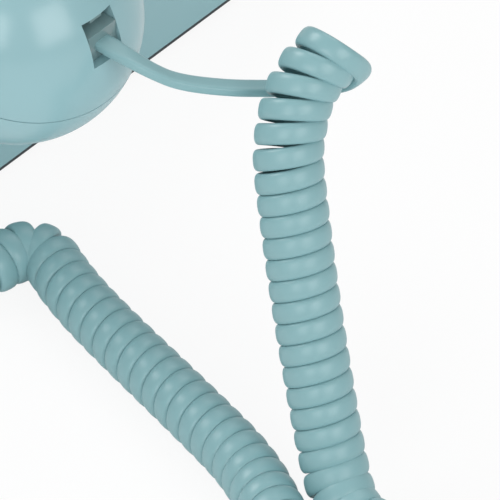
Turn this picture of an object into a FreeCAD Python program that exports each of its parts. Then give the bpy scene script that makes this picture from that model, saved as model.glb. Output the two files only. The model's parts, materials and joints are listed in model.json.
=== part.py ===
"""Compact bedroom telephone: a tapered base with a ring of push keys, a ball-ended handset, its curly cord.

Millimetres. +X is the user's right, +Y is the back, +Z is up. The origin is under the middle of the phone.
"""
import FreeCAD, Part
import math
import os

from FreeCAD import Vector, Placement, Rotation

os.makedirs("parts", exist_ok=True)

FLATNESS = 0.01

# Handset
HANDSET_LENGTH = 221.4
BALL_R = 25.0
BALL_WALL = 2.5
BALL_Z = 69.6
HANDSET_SETBACK = 40.0
CUP_TILT = 22.0
SEAM_RISE = 1.25
SEAM_GAP = 0.3
FACE_DROP = 18.0
FACE_ROUND = 3.0
NECK_WALL = 2.0
NECK_LENGTH = 5.0
NECK_CLEARANCE = 0.3
HANDLE_HALF_WIDTH = 14.5
HANDLE_HALF_HEIGHT = 11.0
HANDLE_STRAIGHT = 46.0
HANDLE_DROP_FROM_TOP = 0.6
FLARE_SIDE_INSET = 4.2
FLARE_DEPTH_INSET = 9.1
FLARE_STATIONS = ((0.0, 0.0, 0.0), (0.15, 0.02, 0.01), (0.5, 0.4, 0.32), (1.0, 1.0, 1.0))
CAPSULE_R = 16.0
CAPSULE_THICKNESS = 8.0
CAPSULE_CLEARANCE = 0.3
CAPSULE_BOSS_R = 8.0
CAPSULE_BOSS_LENGTH = 3.0
SOUND_HOLE_R = 1.3
MOUTH_RING_R = 7.0
EAR_RING_R = 5.0

# Base
BASE_WIDTH = 124.4
BASE_DEPTH = 142.0
BASE_CORNER_R = 14.0
BASE_TOP_Z = 62.0
WALL = 2.5
WALL_TAPER = 10.2
TOP_ROUND = 6.0
FRONT_LIP_Z = 17.0
DIAL_SLOPE = 31.0
FOOT_HEIGHT = 0.8
FOOT_R = 7.0
FOOT_INSET = 16.0
PLATE_THICKNESS = 0.8
PLATE_INSET = 0.0
POST_R = 4.5
SCREW_R = 1.45
SCREW_CLEARANCE = 0.05
SCREW_LENGTH = 10.0
SCREW_HEAD_R = 3.0

# Cradle
CRADLE_X = 36.0
CRADLE_WIDTH = 12.0
CRADLE_HORN = 6.0
CRADLE_HORN_RISE = 7.0
CRADLE_CLEARANCE = 0.4
CRADLE_ROUND = 2.0

# Hook switch
PLUNGER_R = 3.0
PLUNGER_ROUND = 1.0
PLUNGER_CLEARANCE = 0.3
PLUNGER_TRAVEL = 5.0
BAIL_DROP = 18.0
BAIL_HEIGHT = 6.0
BAIL_WIDTH = 8.0
SWITCH_WIDTH = 14.0
SWITCH_HEIGHT = 28.0
SPRING_R = 3.6
SPRING_WALL = 1.0
SPRING_PIN_R = 2.0
SPRING_PIN_LENGTH = 6.0

# Dial
DIAL_R = 33.0
DIAL_CLEARANCE = 0.2
DIAL_PROUD = 0.8
DIAL_FLANGE = 2.5
DIAL_FLANGE_THICKNESS = 1.5
BEZEL_WIDTH = 5.5
BEZEL_LIP = 1.5
BEZEL_HEIGHT = 2.4
BEZEL_ROUND = 1.0
KEY_COUNT = 12
KEY_RING_R = 24.0
KEY_R = 5.2
KEY_CLEARANCE = 0.3
KEY_PROUD = 3.4
KEY_ROUND = 1.6
KEY_FLANGE = 0.7
KEY_FLANGE_THICKNESS = 1.0
KEY_STEM_R = 2.5
KEY_STEM_LENGTH = 1.0
KEY_TRAVEL = 2.5
CENTRE_R = 14.0
CENTRE_HEIGHT = 1.8
CENTRE_ROUND = 1.2
CENTRE_PEG_R = 3.0
CENTRE_PEG_LENGTH = 2.0
MAT_R = 31.0
MAT_THICKNESS = 1.0
MAT_DOME_R = 2.2
MAT_DOME_HEIGHT = 0.3
DIAL_BOARD_THICKNESS = 1.6
DIAL_POST_R = 1.5
DIAL_POST_RING_R = 29.5
DIAL_POST_COUNT = 4

# Jacks and plugs
JACK_OPEN_WIDTH = 8.0
JACK_OPEN_HEIGHT = 9.2
JACK_RISE = 8.2
JACK_RECESS = 6.6
MODULE_WIDTH = 11.0
MODULE_HEIGHT = 13.0
MODULE_LENGTH = 12.4
MODULE_CLEARANCE = 0.1
MODULE_FLOOR = 4.0
BOSS_WALL = 2.0
PLUG_WIDTH = 7.65
PLUG_HEIGHT = 6.4
PLUG_LENGTH = 11.5
PLUG_CLEARANCE = 0.12
PLUG_DROP = 1.3
PLUG_RECESS = 0.8
LATCH_WIDTH = 3.2
LATCH_THICKNESS = 0.9
LATCH_RISE = 1.6
LATCH_LENGTH = 9.0
BLADE_COUNT = 4
BLADE_PITCH = 1.27
BLADE_THICKNESS = 0.4
BLADE_LENGTH = 3.2
BLADE_DEPTH = 2.4
BLADE_SETBACK = 0.8
BASE_JACK_SETBACK = 27.0
BASE_JACK_Z = 12.0
BASE_PLUG_PROUD = 1.2
LINE_JACK_X = 2.0
LINE_JACK_Z = 12.0
LINE_OPEN_WIDTH = 10.0
LINE_OPEN_HEIGHT = 7.0
LINE_MODULE_WIDTH = 14.0
LINE_MODULE_HEIGHT = 12.0

# Network board, ringer and ringer slider
BOARD_WIDTH = 70.0
BOARD_DEPTH = 46.0
BOARD_FORESET = 41.0
BOARD_THICKNESS = 1.6
STANDOFF_R = 2.5
STANDOFF_HEIGHT = 8.0
STANDOFF_INSET = 5.0
BOARD_PART_SIZE = 12.0
BOARD_PART_HEIGHT = 7.0
GONG_X = 29.0
GONG_SETBACK = 33.0
GONG_R = 17.0
GONG_HEIGHT = 13.0
GONG_WALL = 1.2
GONG_RIM_Z = 16.0
GONG_POST_R = 3.0
GONG_POST_FOOT_R = 7.0
GONG_POST_FOOT_HEIGHT = 2.0
GONG_SPIGOT_R = 1.6
CLAPPER_BALL_R = 2.5
CLAPPER_GAP = 0.8
CLAPPER_ARM = 34.0
CLAPPER_HUB_R = 3.0
CLAPPER_HUB_HEIGHT = 4.0
CLAPPER_ROD_R = 0.9
PIVOT_R = 1.2
PIVOT_CLEARANCE = 0.05
RINGER_Y_OFFSET = 6.0
RINGER_FRAME_LENGTH = 22.0
RINGER_FRAME_WIDTH = 14.0
RINGER_FRAME_THICKNESS = 1.5
RINGER_COIL_R = 5.5
RINGER_COIL_HEIGHT = 11.0
RINGER_COIL_OFFSET = 10.0
SLIDER_SETBACK = 49.0
SLIDER_Z = 16.0
SLIDER_TRAVEL = 3.0
SLIDER_KNOB_LENGTH = 5.0
SLIDER_KNOB_HEIGHT = 2.6
SLIDER_KNOB_PROUD = 1.6
SLIDER_CLEARANCE = 0.3
SLIDER_FLANGE_LENGTH = 16.0
SLIDER_FLANGE_HEIGHT = 7.0
SLIDER_FLANGE_THICKNESS = 1.5

# Curly cord
CORD_D = 3.6
COIL_OUTER_D = 13.4
COIL_PITCH = 4.19
STEPS_PER_TURN = 4
GAP_POINTS_PER_TURN = 24
AXIS_STEP = 0.1
HEADING_STEP = 0.002
LEAD_ARC_SHARE = 0.45
COIL_AXIS_Z = 7.0
BEND_ROOM = 1.25
# The cord's points lie behind the handset's axis by their second number.
HANDSET_LEAD_EXIT = 6.0
HANDSET_LEAD_JOIN = 8.0
HANDSET_LEAD_POINTS = [
    (-119.8, -1.2, 75.7),
    (-124.4, -4.1, 73.4),
    (-130.7, -11.5, 70.2),
    (-135.6, -18.2, 68.6),
    (-140.0, -23.6, 67.5),
    (-145.1, -28.6, 66.8),
]
HANDSET_LEAD_SHARE = 2
COIL_AXIS_POINTS = [
    (-144.7, -26.8, 79.2),
    (-144.7, -24.0, 78.4),
    (-144.6, -20.0, 76.4),
    (-144.9, -16.0, 73.0),
    (-146.2, -12.2, 68.5),
    (-147.8, -9.6, 64.3),
    (-151.5, -6.8, 57.0),
    (-160.2, -0.9, 40.3),
    (-169.5, 4.6, 23.5),
    (-177.2, 8.2, 11.0),
    (-184.0, 10.2, COIL_AXIS_Z),
    (-192.5, 12.2, COIL_AXIS_Z),
    (-199.0, 18.5, COIL_AXIS_Z),
    (-197.5, 27.0, COIL_AXIS_Z),
    (-188.5, 28.8, COIL_AXIS_Z),
    (-174.5, 22.2, COIL_AXIS_Z),
    (-160.7, 16.0, COIL_AXIS_Z),
    (-144.1, 11.6, COIL_AXIS_Z),
    (-109.6, 2.7, COIL_AXIS_Z),
    (-91.0, -2.4, COIL_AXIS_Z),
    (-85.3, -2.1, COIL_AXIS_Z),
    (-82.3, 2.4, COIL_AXIS_Z),
    (-81.8, 7.2, COIL_AXIS_Z),
    (-81.4, 11.2, COIL_AXIS_Z),
]
COIL_START_SIDE = (-1.0, 0.0, 0.0)
COIL_END_SIDE = (0.0, 0.0, 1.0)
BASE_LEAD_EXIT = 5.0
BASE_LEAD_JOIN = 5.0

# Places worked out from the sizes above
HANDSET_Y = BASE_DEPTH / 2 - HANDSET_SETBACK
BASE_JACK_Y = BASE_DEPTH / 2 - BASE_JACK_SETBACK
GONG_Y = BASE_DEPTH / 2 - GONG_SETBACK
SLIDER_Y = BASE_DEPTH / 2 - SLIDER_SETBACK
BOARD_Y = BOARD_FORESET - BASE_DEPTH / 2
BALL_X = HANDSET_LENGTH / 2 - BALL_R
PLATE_TOP = FOOT_HEIGHT + PLATE_THICKNESS
WALL_LEAN = math.atan2(WALL_TAPER, BASE_TOP_Z - PLATE_TOP)
HANDLE_Z = BALL_Z + BALL_R - HANDLE_DROP_FROM_TOP - HANDLE_HALF_HEIGHT
HANDLE_BOTTOM = HANDLE_Z - HANDLE_HALF_HEIGHT
JACK_Z = BALL_Z + JACK_RISE
KEY_BOTTOM = -WALL - KEY_CLEARANCE - KEY_FLANGE_THICKNESS - KEY_STEM_LENGTH
MAT_TOP = KEY_BOTTOM - KEY_TRAVEL - KEY_CLEARANCE - MAT_DOME_HEIGHT
BAIL_TOP = BASE_TOP_Z - BAIL_DROP + BAIL_HEIGHT


def save(name, shape):
    """Write one piece as its own file."""
    shape.exportStep("parts/" + name + ".step")


def box(low, high):
    """A block between two corners."""
    size = [b - a for a, b in zip(low, high)]
    return Part.makeBox(size[0], size[1], size[2], Vector(*low))


def disc(radius, low, high, x=0.0, y=0.0):
    """An upright cylinder between two heights."""
    return Part.makeCylinder(radius, high - low, Vector(x, y, low))


def ring(outer, inner, low, high):
    """An upright tube about the local Z axis."""
    return disc(outer, low, high).cut(disc(inner, low, high))


def level_edges(shape, z):
    """The edges of a shape that lie flat at a height."""
    return [e for e in shape.Edges if abs(e.CenterOfMass.z - z) < FLATNESS and e.BoundBox.ZLength < FLATNESS]


def rounded_outline(width, depth, radius, z):
    """A rectangle with round corners, centred on Z."""
    half_x, half_y = width / 2, depth / 2
    diagonal = radius * (1 - math.sqrt(0.5))
    edges = []
    for sx, sy in ((1, 1), (-1, 1), (-1, -1), (1, -1)):
        side = Vector(sx * half_x, sy * (half_y - radius), z)
        end = Vector(sx * (half_x - radius), sy * half_y, z)
        middle = Vector(sx * (half_x - diagonal), sy * (half_y - diagonal), z)
        first, last = (side, end) if sx * sy > 0 else (end, side)
        edges.append(Part.Arc(first, middle, last).toShape())
    outline = []
    for i, arc in enumerate(edges):
        following = edges[(i + 1) % 4]
        outline.append(arc)
        outline.append(Part.makeLine(arc.lastVertex(True).Point, following.firstVertex(True).Point))
    return Part.Wire(outline)


def tapered_block(inset, low, high):
    """The base's four leaning walls, moved in by inset."""
    lean = math.tan(WALL_LEAN)
    wires = []
    for z in (low, high):
        pull = inset / math.cos(WALL_LEAN) + (z - PLATE_TOP) * lean
        wires.append(rounded_outline(BASE_WIDTH - 2 * pull, BASE_DEPTH - 2 * pull, BASE_CORNER_R, z))
    return Part.makeLoft(wires, True, True)


def dial_frame():
    """The dial's middle on the sloping face, with local Z square to the face."""
    slope = math.radians(DIAL_SLOPE)
    front_y = -BASE_DEPTH / 2 + (FRONT_LIP_Z - PLATE_TOP) * math.tan(WALL_LEAN)
    back_y = front_y + (BASE_TOP_Z - FRONT_LIP_Z) / math.tan(slope)
    middle = Vector(0, (front_y + back_y) / 2, (FRONT_LIP_Z + BASE_TOP_Z) / 2)
    return Placement(middle, Rotation(Vector(1, 0, 0), DIAL_SLOPE))


DIAL = dial_frame()


def on_dial(shape):
    """Carry a shape from the dial's own frame to its place."""
    placed = shape.copy()
    placed.Placement = DIAL.multiply(placed.Placement)
    return placed


def base_form(inset, low, round_r):
    """The base's outer form moved in by inset, with its top edges rounded."""
    solid = tapered_block(inset, low, BASE_TOP_Z - inset)
    reach = BASE_WIDTH + BASE_DEPTH
    solid = solid.cut(on_dial(box((-reach, -reach, -inset), (reach, reach, reach))))
    edges = []
    normal = DIAL.Rotation.multVec(Vector(0, 0, 1))
    for face in solid.Faces:
        facing = face.normalAt(0, 0)
        flat = face.Surface.TypeId == "Part::GeomPlane"
        if flat and (facing.dot(Vector(0, 0, 1)) > 0.999 or facing.dot(normal) > 0.999):
            edges += [e for e in face.Edges if not any(e.isSame(k) for k in edges)]
    return solid.makeFillet(round_r, edges)


def oval_wire(x, half_width, half_height, top):
    """An upright oval across X, hung from its top."""
    centre = Vector(x, HANDSET_Y, top - half_height)
    ends = [Vector(0, half_width, 0), Vector(0, 0, half_height)]
    if half_width < half_height:
        ends.reverse()
    return Part.Wire([Part.Ellipse(centre + ends[0], centre + ends[1], centre).toShape()])


def cradle(side):
    """One saddle: a block with two horns that hold the handle between them."""
    half_y = HANDLE_HALF_WIDTH + CRADLE_CLEARANCE + CRADLE_HORN
    low_x = side * CRADLE_X - CRADLE_WIDTH / 2
    low = (low_x, HANDSET_Y - half_y, BASE_TOP_Z - WALL / 2)
    high = (low_x + CRADLE_WIDTH, HANDSET_Y + half_y, HANDLE_BOTTOM + CRADLE_HORN_RISE)
    block = box(low, high)
    upright = [e for e in block.Edges if abs(e.tangentAt(e.FirstParameter).x) > 0.9
               and e.CenterOfMass.z > BASE_TOP_Z]
    block = block.makeFillet(CRADLE_HORN - CRADLE_ROUND, upright)
    top = BALL_Z + BALL_R - HANDLE_DROP_FROM_TOP + CRADLE_CLEARANCE
    wires = []
    for x in (low_x - WALL, low_x + CRADLE_WIDTH + WALL):
        wires.append(oval_wire(x, HANDLE_HALF_WIDTH + CRADLE_CLEARANCE,
                               HANDLE_HALF_HEIGHT + CRADLE_CLEARANCE, top))
    return block.cut(Part.makeLoft(wires, True, True))


def corner_places(inset):
    """Four places near the base's corners."""
    x, y = BASE_WIDTH / 2 - inset, BASE_DEPTH / 2 - inset
    return [(-x, -y), (x, -y), (x, y), (-x, y)]


def wall_x(z):
    """Half the base's outer width at a height."""
    return BASE_WIDTH / 2 - (z - PLATE_TOP) * math.tan(WALL_LEAN)


def wall_y(z):
    """Half the base's outer depth at a height."""
    return BASE_DEPTH / 2 - (z - PLATE_TOP) * math.tan(WALL_LEAN)


def make_base():
    """Feet, floor plate, screws and the moulded housing."""
    feet = [disc(FOOT_R, 0, FOOT_HEIGHT, x, y) for x, y in corner_places(FOOT_INSET + FOOT_R)]
    save("base_feet", Part.makeCompound(feet))

    outline = rounded_outline(BASE_WIDTH - 2 * PLATE_INSET, BASE_DEPTH - 2 * PLATE_INSET,
                              BASE_CORNER_R - PLATE_INSET, FOOT_HEIGHT)
    plate = Part.Face(outline).extrude(Vector(0, 0, PLATE_THICKNESS))
    screw_places = corner_places(WALL_TAPER + POST_R)
    for x, y in screw_places:
        plate = plate.cut(disc(SCREW_R + SCREW_CLEARANCE, 0, PLATE_TOP, x, y))
    for sx in (-1, 1):
        for sy in (-1, 1):
            x = sx * (BOARD_WIDTH / 2 - STANDOFF_INSET)
            y = BOARD_Y + sy * (BOARD_DEPTH / 2 - STANDOFF_INSET)
            plate = plate.fuse(disc(STANDOFF_R, FOOT_HEIGHT, PLATE_TOP + STANDOFF_HEIGHT, x, y))
    save("base_plate", plate.removeSplitter())

    screws = []
    for x, y in screw_places:
        head = disc(SCREW_HEAD_R, FOOT_HEIGHT / 2, FOOT_HEIGHT, x, y)
        screws.append(head.fuse(disc(SCREW_R, FOOT_HEIGHT / 2, PLATE_TOP + SCREW_LENGTH, x, y)))
    save("base_screws", Part.makeCompound(screws))

    inner = base_form(WALL, PLATE_TOP, TOP_ROUND - WALL)
    housing = base_form(0, PLATE_TOP, TOP_ROUND).cut(inner)
    for x, y in screw_places:
        post = disc(POST_R, PLATE_TOP, BASE_TOP_Z, x, y).common(inner)
        post = post.cut(disc(SCREW_R + SCREW_CLEARANCE, PLATE_TOP, PLATE_TOP + SCREW_LENGTH + WALL, x, y))
        housing = housing.fuse(post)
    for side in (-1, 1):
        housing = housing.fuse(cradle(side))
        hole_x = side * CRADLE_X
        housing = housing.cut(disc(PLUNGER_R + PLUNGER_CLEARANCE, BASE_TOP_Z - 2 * WALL,
                                   HANDLE_Z, hole_x, HANDSET_Y))
    housing = housing.cut(on_dial(disc(DIAL_R, -3 * WALL, 3 * WALL)))
    outside, inside = -BASE_WIDTH / 2 - WALL, -BASE_WIDTH / 2 + 4 * WALL
    housing = housing.cut(jack_opening(BASE_JACK_Y, BASE_JACK_Z, outside, inside))
    housing = housing.cut(box((LINE_JACK_X - LINE_OPEN_WIDTH / 2, BASE_DEPTH / 2 - 4 * WALL,
                               LINE_JACK_Z - LINE_OPEN_HEIGHT / 2),
                              (LINE_JACK_X + LINE_OPEN_WIDTH / 2, BASE_DEPTH / 2 + WALL,
                               LINE_JACK_Z + LINE_OPEN_HEIGHT / 2)))
    slot_half = SLIDER_KNOB_LENGTH / 2 + SLIDER_TRAVEL + SLIDER_CLEARANCE
    slot_high = SLIDER_KNOB_HEIGHT / 2 + SLIDER_CLEARANCE
    housing = housing.cut(box((BASE_WIDTH / 2 - 4 * WALL, SLIDER_Y - slot_half, SLIDER_Z - slot_high),
                              (BASE_WIDTH / 2 + WALL, SLIDER_Y + slot_half, SLIDER_Z + slot_high)))
    save("base_housing", housing.removeSplitter())


def jack_opening(y, z, low_x, high_x):
    """The square hole that a cord's plug goes into."""
    return box((low_x, y - JACK_OPEN_WIDTH / 2, z - JACK_OPEN_HEIGHT / 2),
               (high_x, y + JACK_OPEN_WIDTH / 2, z + JACK_OPEN_HEIGHT / 2))


def make_dial():
    """Bezel, plate, keys, centre, rubber mat and board on the sloping face."""
    plate_r = DIAL_R - DIAL_CLEARANCE
    plate = disc(plate_r, -WALL, DIAL_PROUD)
    flange = ring(plate_r + DIAL_FLANGE, plate_r - DIAL_FLANGE, -WALL - DIAL_FLANGE_THICKNESS, -WALL)
    plate = plate.fuse(flange)
    angles = [360.0 / KEY_COUNT * (i + 0.5) for i in range(KEY_COUNT)]
    key_places = [(KEY_RING_R * math.sin(math.radians(a)), KEY_RING_R * math.cos(math.radians(a)))
                  for a in angles]
    for x, y in key_places:
        plate = plate.cut(disc(KEY_R + KEY_CLEARANCE, -2 * WALL, 2 * DIAL_PROUD, x, y))
        swept = KEY_R + KEY_FLANGE + KEY_CLEARANCE
        plate = plate.cut(disc(swept, -WALL - DIAL_FLANGE_THICKNESS, -WALL, x, y))
    plate = plate.cut(disc(CENTRE_PEG_R + DIAL_CLEARANCE, DIAL_PROUD - CENTRE_PEG_LENGTH - DIAL_CLEARANCE,
                           DIAL_PROUD))
    for i in range(DIAL_POST_COUNT):
        angle = math.radians(360.0 / DIAL_POST_COUNT * i)
        x, y = DIAL_POST_RING_R * math.sin(angle), DIAL_POST_RING_R * math.cos(angle)
        plate = plate.fuse(disc(DIAL_POST_R, MAT_TOP, -WALL, x, y))
    save("dial_plate", on_dial(plate.removeSplitter()))

    bezel = disc(DIAL_R + BEZEL_WIDTH, 0, BEZEL_HEIGHT).cut(disc(DIAL_R, 0, DIAL_PROUD))
    bezel = bezel.cut(disc(DIAL_R - BEZEL_LIP, DIAL_PROUD, BEZEL_HEIGHT))
    save("dial_bezel", on_dial(bezel.makeFillet(BEZEL_ROUND, level_edges(bezel, BEZEL_HEIGHT))))

    centre = disc(CENTRE_R, DIAL_PROUD, DIAL_PROUD + CENTRE_HEIGHT)
    centre = centre.makeFillet(CENTRE_ROUND, level_edges(centre, DIAL_PROUD + CENTRE_HEIGHT))
    peg = disc(CENTRE_PEG_R, DIAL_PROUD - CENTRE_PEG_LENGTH, DIAL_PROUD)
    save("dial_centre", on_dial(centre.fuse(peg).removeSplitter()))

    names = ["1", "2", "3", "4", "5", "6", "7", "8", "9", "star", "0", "hash"]
    flange_top = -WALL - KEY_CLEARANCE
    for name, (x, y) in zip(names, key_places):
        key = disc(KEY_R, flange_top, DIAL_PROUD + KEY_PROUD)
        key = key.makeFillet(KEY_ROUND, level_edges(key, DIAL_PROUD + KEY_PROUD))
        key = key.fuse(disc(KEY_R + KEY_FLANGE, flange_top - KEY_FLANGE_THICKNESS, flange_top))
        stem_top = flange_top - KEY_FLANGE_THICKNESS
        key = key.fuse(disc(KEY_STEM_R, stem_top - KEY_STEM_LENGTH, stem_top))
        key.translate(Vector(x, y, 0))
        save("key_" + name, on_dial(key.removeSplitter()))

    mat = disc(MAT_R, MAT_TOP - MAT_THICKNESS, MAT_TOP)
    for x, y in key_places:
        mat = mat.fuse(disc(MAT_DOME_R, MAT_TOP - MAT_THICKNESS, MAT_TOP + MAT_DOME_HEIGHT, x, y))
    save("keypad_mat", on_dial(mat.removeSplitter()))
    board_top = MAT_TOP - MAT_THICKNESS
    save("keypad_board", on_dial(disc(MAT_R, board_top - DIAL_BOARD_THICKNESS, board_top)))


def make_hook():
    """The bail with its two plungers, the spring under it and the switch that carries the spring."""
    bail_low = BAIL_TOP - BAIL_HEIGHT
    bail = box((-CRADLE_X - BAIL_WIDTH / 2, HANDSET_Y - BAIL_WIDTH / 2, bail_low),
               (CRADLE_X + BAIL_WIDTH / 2, HANDSET_Y + BAIL_WIDTH / 2, BAIL_TOP))
    for side in (-1, 1):
        tip_z = HANDLE_BOTTOM - CRADLE_CLEARANCE
        plunger = disc(PLUNGER_R, bail_low, tip_z, side * CRADLE_X, HANDSET_Y)
        bail = bail.fuse(plunger.makeFillet(PLUNGER_ROUND, level_edges(plunger, tip_z)))
    save("hook_bail", bail.removeSplitter())

    switch_top = PLATE_TOP + SWITCH_HEIGHT
    half = SWITCH_WIDTH / 2
    switch = box((-half, HANDSET_Y - half, PLATE_TOP), (half, HANDSET_Y + half, switch_top))
    switch = switch.fuse(disc(SPRING_PIN_R, switch_top, switch_top + SPRING_PIN_LENGTH, 0, HANDSET_Y))
    save("hook_switch", switch.removeSplitter())

    spring = ring(SPRING_R, SPRING_R - SPRING_WALL, switch_top, bail_low)
    spring.translate(Vector(0, HANDSET_Y, 0))
    save("hook_spring", spring)


def make_inside():
    """Network board, bell, clapper with its frame and coil, and the ringer slider."""
    board_z = PLATE_TOP + STANDOFF_HEIGHT
    board = box((-BOARD_WIDTH / 2, BOARD_Y - BOARD_DEPTH / 2, board_z),
                (BOARD_WIDTH / 2, BOARD_Y + BOARD_DEPTH / 2, board_z + BOARD_THICKNESS))
    part_top = board_z + BOARD_THICKNESS + BOARD_PART_HEIGHT
    part_y = BOARD_Y + BOARD_DEPTH / 4
    for x in (-BOARD_WIDTH / 4, BOARD_WIDTH / 4):
        board = board.fuse(box((x - BOARD_PART_SIZE / 2, part_y - BOARD_PART_SIZE / 2, board_z),
                               (x + BOARD_PART_SIZE / 2, part_y + BOARD_PART_SIZE / 2, part_top)))
    save("network_board", board.removeSplitter())

    gong_top = GONG_RIM_Z + GONG_HEIGHT
    post = disc(GONG_POST_FOOT_R, PLATE_TOP, PLATE_TOP + GONG_POST_FOOT_HEIGHT, GONG_X, GONG_Y)
    post = post.fuse(disc(GONG_POST_R, PLATE_TOP, gong_top - GONG_WALL, GONG_X, GONG_Y))
    post = post.fuse(disc(GONG_SPIGOT_R, PLATE_TOP, gong_top, GONG_X, GONG_Y))
    save("gong_post", post.removeSplitter())

    gong = disc(GONG_R, GONG_RIM_Z, gong_top, GONG_X, GONG_Y)
    gong = gong.makeFillet(GONG_HEIGHT - 2 * GONG_WALL, level_edges(gong, gong_top))
    roof = gong_top - GONG_WALL
    hollow = disc(GONG_R - GONG_WALL, GONG_RIM_Z, roof, GONG_X, GONG_Y)
    gong = gong.cut(hollow.makeFillet(GONG_HEIGHT - 3 * GONG_WALL, level_edges(hollow, roof)))
    gong = gong.cut(disc(GONG_SPIGOT_R + PIVOT_CLEARANCE, GONG_RIM_Z, gong_top, GONG_X, GONG_Y))
    save("ringer_gong", gong)

    ring_y = GONG_Y + RINGER_Y_OFFSET
    reach = math.sqrt((GONG_R + CLAPPER_GAP + CLAPPER_BALL_R) ** 2 - RINGER_Y_OFFSET ** 2)
    ball_x = GONG_X - reach
    pivot_x = ball_x - CLAPPER_ARM
    ball_z = GONG_RIM_Z + CLAPPER_BALL_R
    frame_top = PLATE_TOP + RINGER_FRAME_THICKNESS
    frame = box((pivot_x - RINGER_FRAME_LENGTH / 4, ring_y - RINGER_FRAME_WIDTH / 2, PLATE_TOP),
                (pivot_x + RINGER_FRAME_LENGTH * 3 / 4, ring_y + RINGER_FRAME_WIDTH / 2, frame_top))
    hub_low = ball_z - CLAPPER_HUB_HEIGHT / 2
    frame = frame.fuse(disc(CLAPPER_HUB_R, PLATE_TOP, hub_low - PIVOT_CLEARANCE, pivot_x, ring_y))
    frame = frame.fuse(disc(PIVOT_R, PLATE_TOP, hub_low + CLAPPER_HUB_HEIGHT + PIVOT_R, pivot_x, ring_y))
    save("ringer_frame", frame.removeSplitter())

    coil_x = pivot_x + RINGER_COIL_OFFSET
    coil_high = min(frame_top + RINGER_COIL_HEIGHT, hub_low - CLAPPER_GAP)
    coil = disc(RINGER_COIL_R, frame_top, coil_high, coil_x, ring_y)
    save("ringer_coil", coil)

    hub = disc(CLAPPER_HUB_R, hub_low, hub_low + CLAPPER_HUB_HEIGHT, pivot_x, ring_y)
    rod = Part.makeCylinder(CLAPPER_ROD_R, CLAPPER_ARM, Vector(pivot_x, ring_y, ball_z), Vector(1, 0, 0))
    clapper = hub.fuse(rod).fuse(Part.makeSphere(CLAPPER_BALL_R, Vector(ball_x, ring_y, ball_z)))
    bore = disc(PIVOT_R + PIVOT_CLEARANCE, hub_low, hub_low + CLAPPER_HUB_HEIGHT, pivot_x, ring_y)
    clapper = clapper.cut(bore)
    save("ringer_clapper", clapper.removeSplitter())

    knob_half = SLIDER_KNOB_LENGTH / 2
    inner_x = wall_x(SLIDER_Z) - WALL / math.cos(WALL_LEAN)
    lean_drop = SLIDER_FLANGE_HEIGHT / 2 * math.tan(WALL_LEAN)
    flange_x = inner_x - SLIDER_CLEARANCE - lean_drop
    slider = box((flange_x - SLIDER_FLANGE_THICKNESS, SLIDER_Y - SLIDER_FLANGE_LENGTH / 2,
                  SLIDER_Z - SLIDER_FLANGE_HEIGHT / 2),
                 (flange_x, SLIDER_Y + SLIDER_FLANGE_LENGTH / 2, SLIDER_Z + SLIDER_FLANGE_HEIGHT / 2))
    knob_x = wall_x(SLIDER_Z) + SLIDER_KNOB_PROUD
    knob_rise = SLIDER_KNOB_HEIGHT / 2
    knob = box((flange_x - SLIDER_FLANGE_THICKNESS, SLIDER_Y - knob_half, SLIDER_Z - knob_rise),
               (knob_x, SLIDER_Y + knob_half, SLIDER_Z + knob_rise))
    save("ringer_slider", slider.fuse(knob).removeSplitter())


def make_jack_and_plug(prefix, front_x, y, z, plug_end_x):
    """A square jack whose mouth looks along -X from front_x, with a cord's plug in it."""
    high_x = front_x + MODULE_LENGTH
    module = box((front_x, y - MODULE_WIDTH / 2, z - MODULE_HEIGHT / 2),
                 (high_x, y + MODULE_WIDTH / 2, z + MODULE_HEIGHT / 2))
    plug_z = z - PLUG_DROP
    cavity_half = PLUG_WIDTH / 2 + PLUG_CLEARANCE
    latch_top = plug_z + PLUG_HEIGHT / 2 + LATCH_RISE + LATCH_THICKNESS
    nose_x = plug_end_x + PLUG_LENGTH
    cavity = box((front_x, y - cavity_half, plug_z - PLUG_HEIGHT / 2 - PLUG_CLEARANCE),
                 (nose_x + PLUG_CLEARANCE, y + cavity_half, plug_z + PLUG_HEIGHT / 2 + PLUG_CLEARANCE))
    channel_half = LATCH_WIDTH / 2 + 2 * PLUG_CLEARANCE
    channel = box((front_x, y - channel_half, plug_z),
                  (nose_x + PLUG_CLEARANCE, y + channel_half, latch_top + 2 * PLUG_CLEARANCE))
    save(prefix + "_jack", module.cut(cavity).cut(channel).removeSplitter())

    low, high = plug_z - PLUG_HEIGHT / 2, plug_z + PLUG_HEIGHT / 2
    plug = box((plug_end_x, y - PLUG_WIDTH / 2, low), (nose_x, y + PLUG_WIDTH / 2, high))
    latch_start = nose_x - BLADE_SETBACK
    profile = [
        Vector(latch_start, y - LATCH_WIDTH / 2, high - LATCH_THICKNESS),
        Vector(latch_start, y - LATCH_WIDTH / 2, high + LATCH_THICKNESS),
        Vector(latch_start - LATCH_LENGTH, y - LATCH_WIDTH / 2, high + LATCH_RISE + LATCH_THICKNESS),
        Vector(latch_start - LATCH_LENGTH, y - LATCH_WIDTH / 2, high + LATCH_RISE),
        Vector(latch_start - 2 * LATCH_THICKNESS, y - LATCH_WIDTH / 2, high - LATCH_THICKNESS),
    ]
    latch = Part.Face(Part.makePolygon(profile + profile[:1])).extrude(Vector(0, LATCH_WIDTH, 0))
    plug = plug.fuse(latch)
    blades = []
    first = y - BLADE_PITCH * (BLADE_COUNT - 1) / 2
    for i in range(BLADE_COUNT):
        blade_y = first + i * BLADE_PITCH
        blade = box((nose_x - BLADE_SETBACK - BLADE_LENGTH, blade_y - BLADE_THICKNESS / 2, low),
                    (nose_x - BLADE_SETBACK, blade_y + BLADE_THICKNESS / 2, low + BLADE_DEPTH))
        blades.append(blade)
        plug = plug.cut(blade)
    save(prefix + "_plug", plug.removeSplitter())
    save(prefix + "_plug_contacts", Part.makeCompound(blades))


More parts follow.
